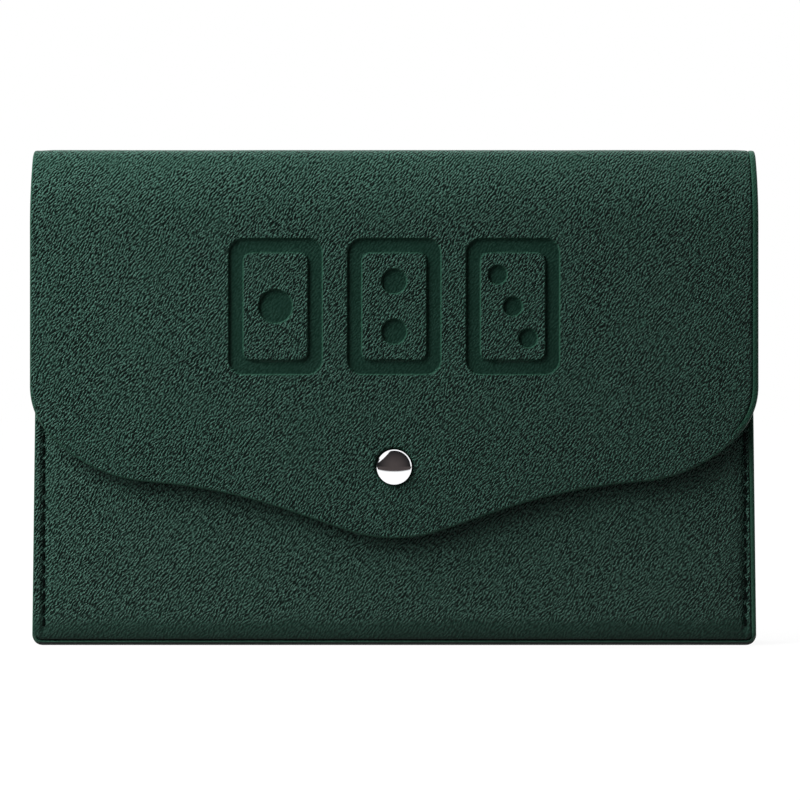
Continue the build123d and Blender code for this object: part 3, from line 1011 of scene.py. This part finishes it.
def bar(shell, left, right, section, edge=1.0):
    """Straight strip along X with a counterclockwise section in Y and height, closed at both ends."""
    xs = steps(left, right, 6)
    rings = []
    for x in xs:
        co = [(x, y, z) for y, z in section]
        uv = [(x, z) for y, z in section]
        rings.append(shell.add(co, uv, [(0, edge)] * len(section)))
    for a, b in zip(rings, rings[1:]):
        shell.strip(a, b)
    shell.faces.append(tuple(rings[0]))
    shell.faces.append(tuple(rings[-1][::-1]))


front = front_skin()
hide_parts("front_leather")


# ---- Side gussets ----

def rounded_path(corners, radius, pieces=6):
    """A polyline in 2D with each inner corner rounded."""
    corners = [np.array(c, float) for c in corners]
    points = [corners[0]]
    for a, b, c in zip(corners, corners[1:], corners[2:]):
        before = (a - b) / np.linalg.norm(a - b)
        after = (c - b) / np.linalg.norm(c - b)
        cut = min(radius, np.linalg.norm(a - b) * 0.45, np.linalg.norm(c - b) * 0.45)
        start, stop = b + before * cut, b + after * cut
        for s in np.linspace(0, 1, pieces):
            points.append((1 - s)**2 * start + 2 * s * (1 - s) * b + s * s * stop)
    points.append(corners[-1])
    dense = [points[0]]
    for point in points[1:]:
        count = max(1, int(np.linalg.norm(point - dense[-1]) / 0.9))
        last = dense[-1]
        dense += [last + (point - last) * k / count for k in range(1, count + 1)]
    return np.array(dense)


def length_along(path):
    return np.concatenate([[0], np.cumsum(np.linalg.norm(np.diff(path, axis=0), axis=1))])


def resampled(path, count):
    """The path with a set number of points at even spacing."""
    length = length_along(path)
    at = np.linspace(0, length[-1], count)
    return np.stack([np.interp(at, length, path[:, i]) for i in (0, 1)], 1)


def side_gusset(name, side):
    """Strip between the front and back seams that folds inwards, with a little slack."""
    front_y = FRONT_SEAM_Y + GUSSET / 2
    back_y = BACK_SEAM_Y - GUSSET / 2
    shell = Shell()
    rings = []
    for z in steps(RIM, MOUTH_Z, 2.0):
        give = 0.35 * (math.sin(z / 11.0 + side) + 1) * smoothstep(2, 20, z) * smoothstep(126, 100, z)
        apex = GUSSET_APEX + float(give)
        turned_edge = HALF - CORNER_R + math.sqrt((CORNER_R - RIM)**2 - max(0, CORNER_R - z)**2)
        edge = min(GUSSET_EDGE, turned_edge)
        path = resampled(rounded_path([
            (edge, front_y), (GUSSET_BEND, front_y), (apex, DIVIDER_Y),
            (GUSSET_BEND, back_y), (edge, back_y),
        ], 2.2), 48)
        run = np.gradient(path, axis=0)
        run /= np.linalg.norm(run, axis=1)[:, None]
        across = np.stack([-run[:, 1], run[:, 0]], 1) * GUSSET / 2
        ring = np.concatenate([path + across, (path - across)[::-1]])
        length = length_along(path)
        u = np.concatenate([length, length[::-1]])
        co = np.stack([side * ring[:, 0], ring[:, 1], np.full(len(ring), z)], 1)
        uv = np.stack([u + 300, np.full(len(ring), z)], 1)
        rings.append(shell.add(co, uv, even_marks(len(ring), 0.0)))
    for a, b in zip(rings, rings[1:]):
        shell.strip(a, b, flip=side > 0)
    half = len(rings[0]) // 2
    for ring, flip in ((rings[0], side > 0), (rings[-1], side < 0)):
        for i in range(half - 1):
            face = (ring[i], ring[i + 1], ring[2 * half - 2 - i], ring[2 * half - 1 - i])
            shell.faces.append(face[::-1] if flip else face)
    obj = shell.make(name + "_fold", LEATHER_SKIN, "pouch")
    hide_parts(name)


side_gusset("right_gusset", 1)
side_gusset("left_gusset", -1)


# ---- Stitches ----

def stitch_mesh(outward):
    """One stitch of two twisted plies, that arches over the leather and dives in at both ends."""
    verts, faces = [], []
    along, around = 17, 8
    for ply in (0, 1):
        base = len(verts)
        for i in range(along):
            s = i / (along - 1) * 2 - 1
            twist = s * 2.6 + ply * math.pi
            lift = 0.10 - 0.42 * abs(s)**3.5
            centre = np.array([0.17 * math.cos(twist), lift + 0.12 * math.sin(twist), s * STITCH / 2])
            radius = 0.26 * (1 - 0.45 * abs(s)**6)
            for k in range(around):
                angle = 2 * math.pi * k / around
                verts.append(centre + radius * np.array([math.cos(angle), math.sin(angle), 0]))
        for i in range(along - 1):
            for k in range(around):
                j = (k + 1) % around
                a, b = base + i * around, base + (i + 1) * around
                faces.append((a + k, a + j, b + j, b + k))
        faces.append(tuple(base + k for k in range(around))[::-1])
        faces.append(tuple(base + (along - 1) * around + k for k in range(around)))
    verts = np.array(verts)
    if outward < 0:
        verts[:, :2] *= -1
    return verts, faces


def stitch_row(name, x, y, outward, seed):
    """All the stitches of one seam on one side, each set a little unevenly."""
    rng = np.random.default_rng(seed)
    verts, faces = stitch_mesh(outward)
    shell = Shell()
    for z in STITCHES:
        lean = math.radians(2.5 * (1 if x * outward > 0 else -1) + rng.normal(0, 1.5))
        moved = verts.copy()
        moved[:, 0] += np.tan(lean) * moved[:, 2] + rng.normal(0, 0.03)
        moved += (x, y - outward * 0.12, z)
        index = shell.add(moved, moved[:, [0, 2]], np.zeros((len(moved), 2)))
        shell.faces += [tuple(index[list(f)]) for f in faces]
    obj = shell.make(name.replace("stitches", "thread"), THREAD, "pouch")
    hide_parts(name)


stitch_row("left_front_stitches", -SEAM_X, MARGIN_Y, -1, 1)
stitch_row("right_front_stitches", SEAM_X, MARGIN_Y, -1, 2)
stitch_row("left_back_stitches", -SEAM_X, BACK_Y, 1, 3)
stitch_row("right_back_stitches", SEAM_X, BACK_Y, 1, 4)


# ---- Press stud ----

def turned(node, name, profile, look, body, radius=0.08, turn=360.0, segments=96):
    """Metal piece turned about the stud's axis: a closed profile of radius and Y with soft corners."""
    loop = soften(profile, radius)
    full = turn >= 360
    count = segments if full else int(segments * turn / 360)
    verts, faces = [], []
    for k in range(count + (not full)):
        angle = math.radians(turn) * k / count
        verts += [(r * math.cos(angle), y, STUD_Z + r * math.sin(angle)) for r, y in loop]
    size = len(loop)
    for k in range(count):
        a, b = k * size, ((k + 1) % count if full else k + 1) * size
        for i in range(size):
            j = (i + 1) % size
            faces.append((a + i, a + j, b + j, b + i))
    if not full:
        faces.append(tuple(range(size))[::-1])
        faces.append(tuple(count * size + i for i in range(size)))
    mesh = bpy.data.meshes.new(name)
    mesh.from_pydata((np.array(verts) * MM).tolist(), [], faces)
    merge_centre(mesh)
    obj = finish_mesh(name, mesh, look, body, sharp=50)
    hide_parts(node)


def merge_centre(mesh):
    """Join the points that lie on the axis and turn all faces outwards."""
    bm = bmesh.new()
    bm.from_mesh(mesh)
    bmesh.ops.remove_doubles(bm, verts=bm.verts, dist=1e-7)
    bmesh.ops.dissolve_degenerate(bm, dist=1e-7, edges=bm.edges)
    bmesh.ops.recalc_face_normals(bm, faces=bm.faces)
    bm.to_mesh(mesh)
    bm.free()


def soften(profile, radius):
    """Round the corners of a closed profile that are off the axis."""
    points = [np.array(p, float) for p in profile]
    out = []
    for i, b in enumerate(points):
        a, c = points[i - 1], points[(i + 1) % len(points)]
        la, lc = np.linalg.norm(a - b), np.linalg.norm(c - b)
        cut = min(radius, la * 0.4, lc * 0.4)
        straight = abs(np.cross((a - b) / la, (c - b) / lc)) < 0.25
        if b[0] < 1e-6 or straight:
            out.append(b)
            continue
        start, stop = b + (a - b) / la * cut, b + (c - b) / lc * cut
        for s in np.linspace(0, 1, 4):
            out.append((1 - s)**2 * start + 2 * s * (1 - s) * b + s * s * stop)
    return out


CAP_R = 5.4
CAP_RISE = 2.1
CAP_STEM_R = 1.5
FLARE_R = 2.0
SOCKET_R = 4.8
SOCKET_HOLE_R = 1.6
CHAMBER_R = 3.1
CUFF_R = 2.2
SPRING_R = 2.6
WIRE_R = 0.2
BULB_R = 2.0
NECK_R = 1.7
FLANGE_R = 4.2
POST_R = 1.2
BORE_R = 1.25
POST_HEAD_R = 4.0
POST_RIM_R = 3.2
# Places along Y, from the cap inwards
SEAT = FLAP_Y + LEATHER
SOCKET_FACE = SEAT + 2.0
CAP_FLOOR = SEAT + 0.3
CAP_FLARE = CAP_FLOOR + 0.25
BULB_TOP = CAP_FLARE + 0.2
FLANGE_Y = SOCKET_FACE + 0.05
SPRING_Y = SOCKET_FACE - 0.5
NECK_Y = (BULB_TOP + FLANGE_Y) / 2


def cap_profile():
    """Domed cap with a curled rim, on the stem that rivets it to the socket."""
    profile = [(0.0, FLAP_Y - CAP_RISE)]
    turn = 0.0
    for radius, stop, count in ((10.4, 28.2, 22), (1.5, 45, 8), (0.4, 84, 8)):
        start, begin = profile[-1], turn
        turn = math.radians(stop)
        for a in np.linspace(begin, turn, count)[1:]:
            profile.append((start[0] + radius * (math.sin(a) - math.sin(begin)),
                            start[1] + radius * (math.cos(begin) - math.cos(a))))
    profile += [(CAP_R, FLAP_Y), (CAP_STEM_R, FLAP_Y), (CAP_STEM_R, CAP_FLOOR), (FLARE_R, CAP_FLOOR),
                (FLARE_R, CAP_FLARE), (0, CAP_FLARE)]
    return profile


turned("snap_cap", "snap_cap_dome", cap_profile(), CHROME, "flap", radius=0.04, segments=128)
turned("snap_socket", "snap_socket_cup", [
    (SOCKET_HOLE_R, SEAT), (SOCKET_R, SEAT), (SOCKET_R, SOCKET_FACE - 0.25), (SOCKET_R - 0.35, SOCKET_FACE),
    (CUFF_R + 0.55, SOCKET_FACE), (CUFF_R, SOCKET_FACE - 0.1), (CUFF_R, SOCKET_FACE - 0.3),
    (CHAMBER_R, SOCKET_FACE - 0.3), (CHAMBER_R, CAP_FLOOR), (SOCKET_HOLE_R, CAP_FLOOR),
], NICKEL, "flap", radius=0.12)
turned("snap_spring", "snap_spring_ring", [
    (SPRING_R + WIRE_R * math.cos(a), SPRING_Y + WIRE_R * math.sin(a)) for a in np.arange(12) * math.pi / 6
], STEEL, "flap", radius=0.001, turn=320.0)
turned("snap_stud", "snap_stud_post", [
    (BORE_R, BULB_TOP), (BORE_R + 0.4, BULB_TOP), (BULB_R - 0.05, BULB_TOP + 0.18),
    (BULB_R, BULB_TOP + 0.42), (NECK_R + 0.08, NECK_Y), (NECK_R, NECK_Y + 0.15), (NECK_R, FLANGE_Y),
    (FLANGE_R - 0.3, FLANGE_Y), (FLANGE_R, FLANGE_Y + 0.14), (FLANGE_R, FRONT_Y), (BORE_R, FRONT_Y),
], NICKEL, "pouch")
turned("snap_post", "snap_post_rivet", [
    (0, BULB_TOP), (POST_R, BULB_TOP), (POST_R, FRONT_IN_Y), (POST_HEAD_R, FRONT_IN_Y),
    (POST_HEAD_R, FRONT_IN_Y + 0.3), (POST_RIM_R, FRONT_IN_Y + 0.6), (0, FRONT_IN_Y + 0.6),
], NICKEL, "pouch", radius=0.1)


# ---- Everything that keeps its CAD shape ----

PLAIN = {
    "front_board": GREY_BOARD, "base_board": SUEDE, "front_lining": SUEDE,
    "base_strip": LEATHER_TRIM, "divider": DIVIDER_CLOTH, "card_pocket": FILM,
}
for node_name, look in PLAIN.items():
    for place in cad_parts[node_name].material_slots:
        place.material = look
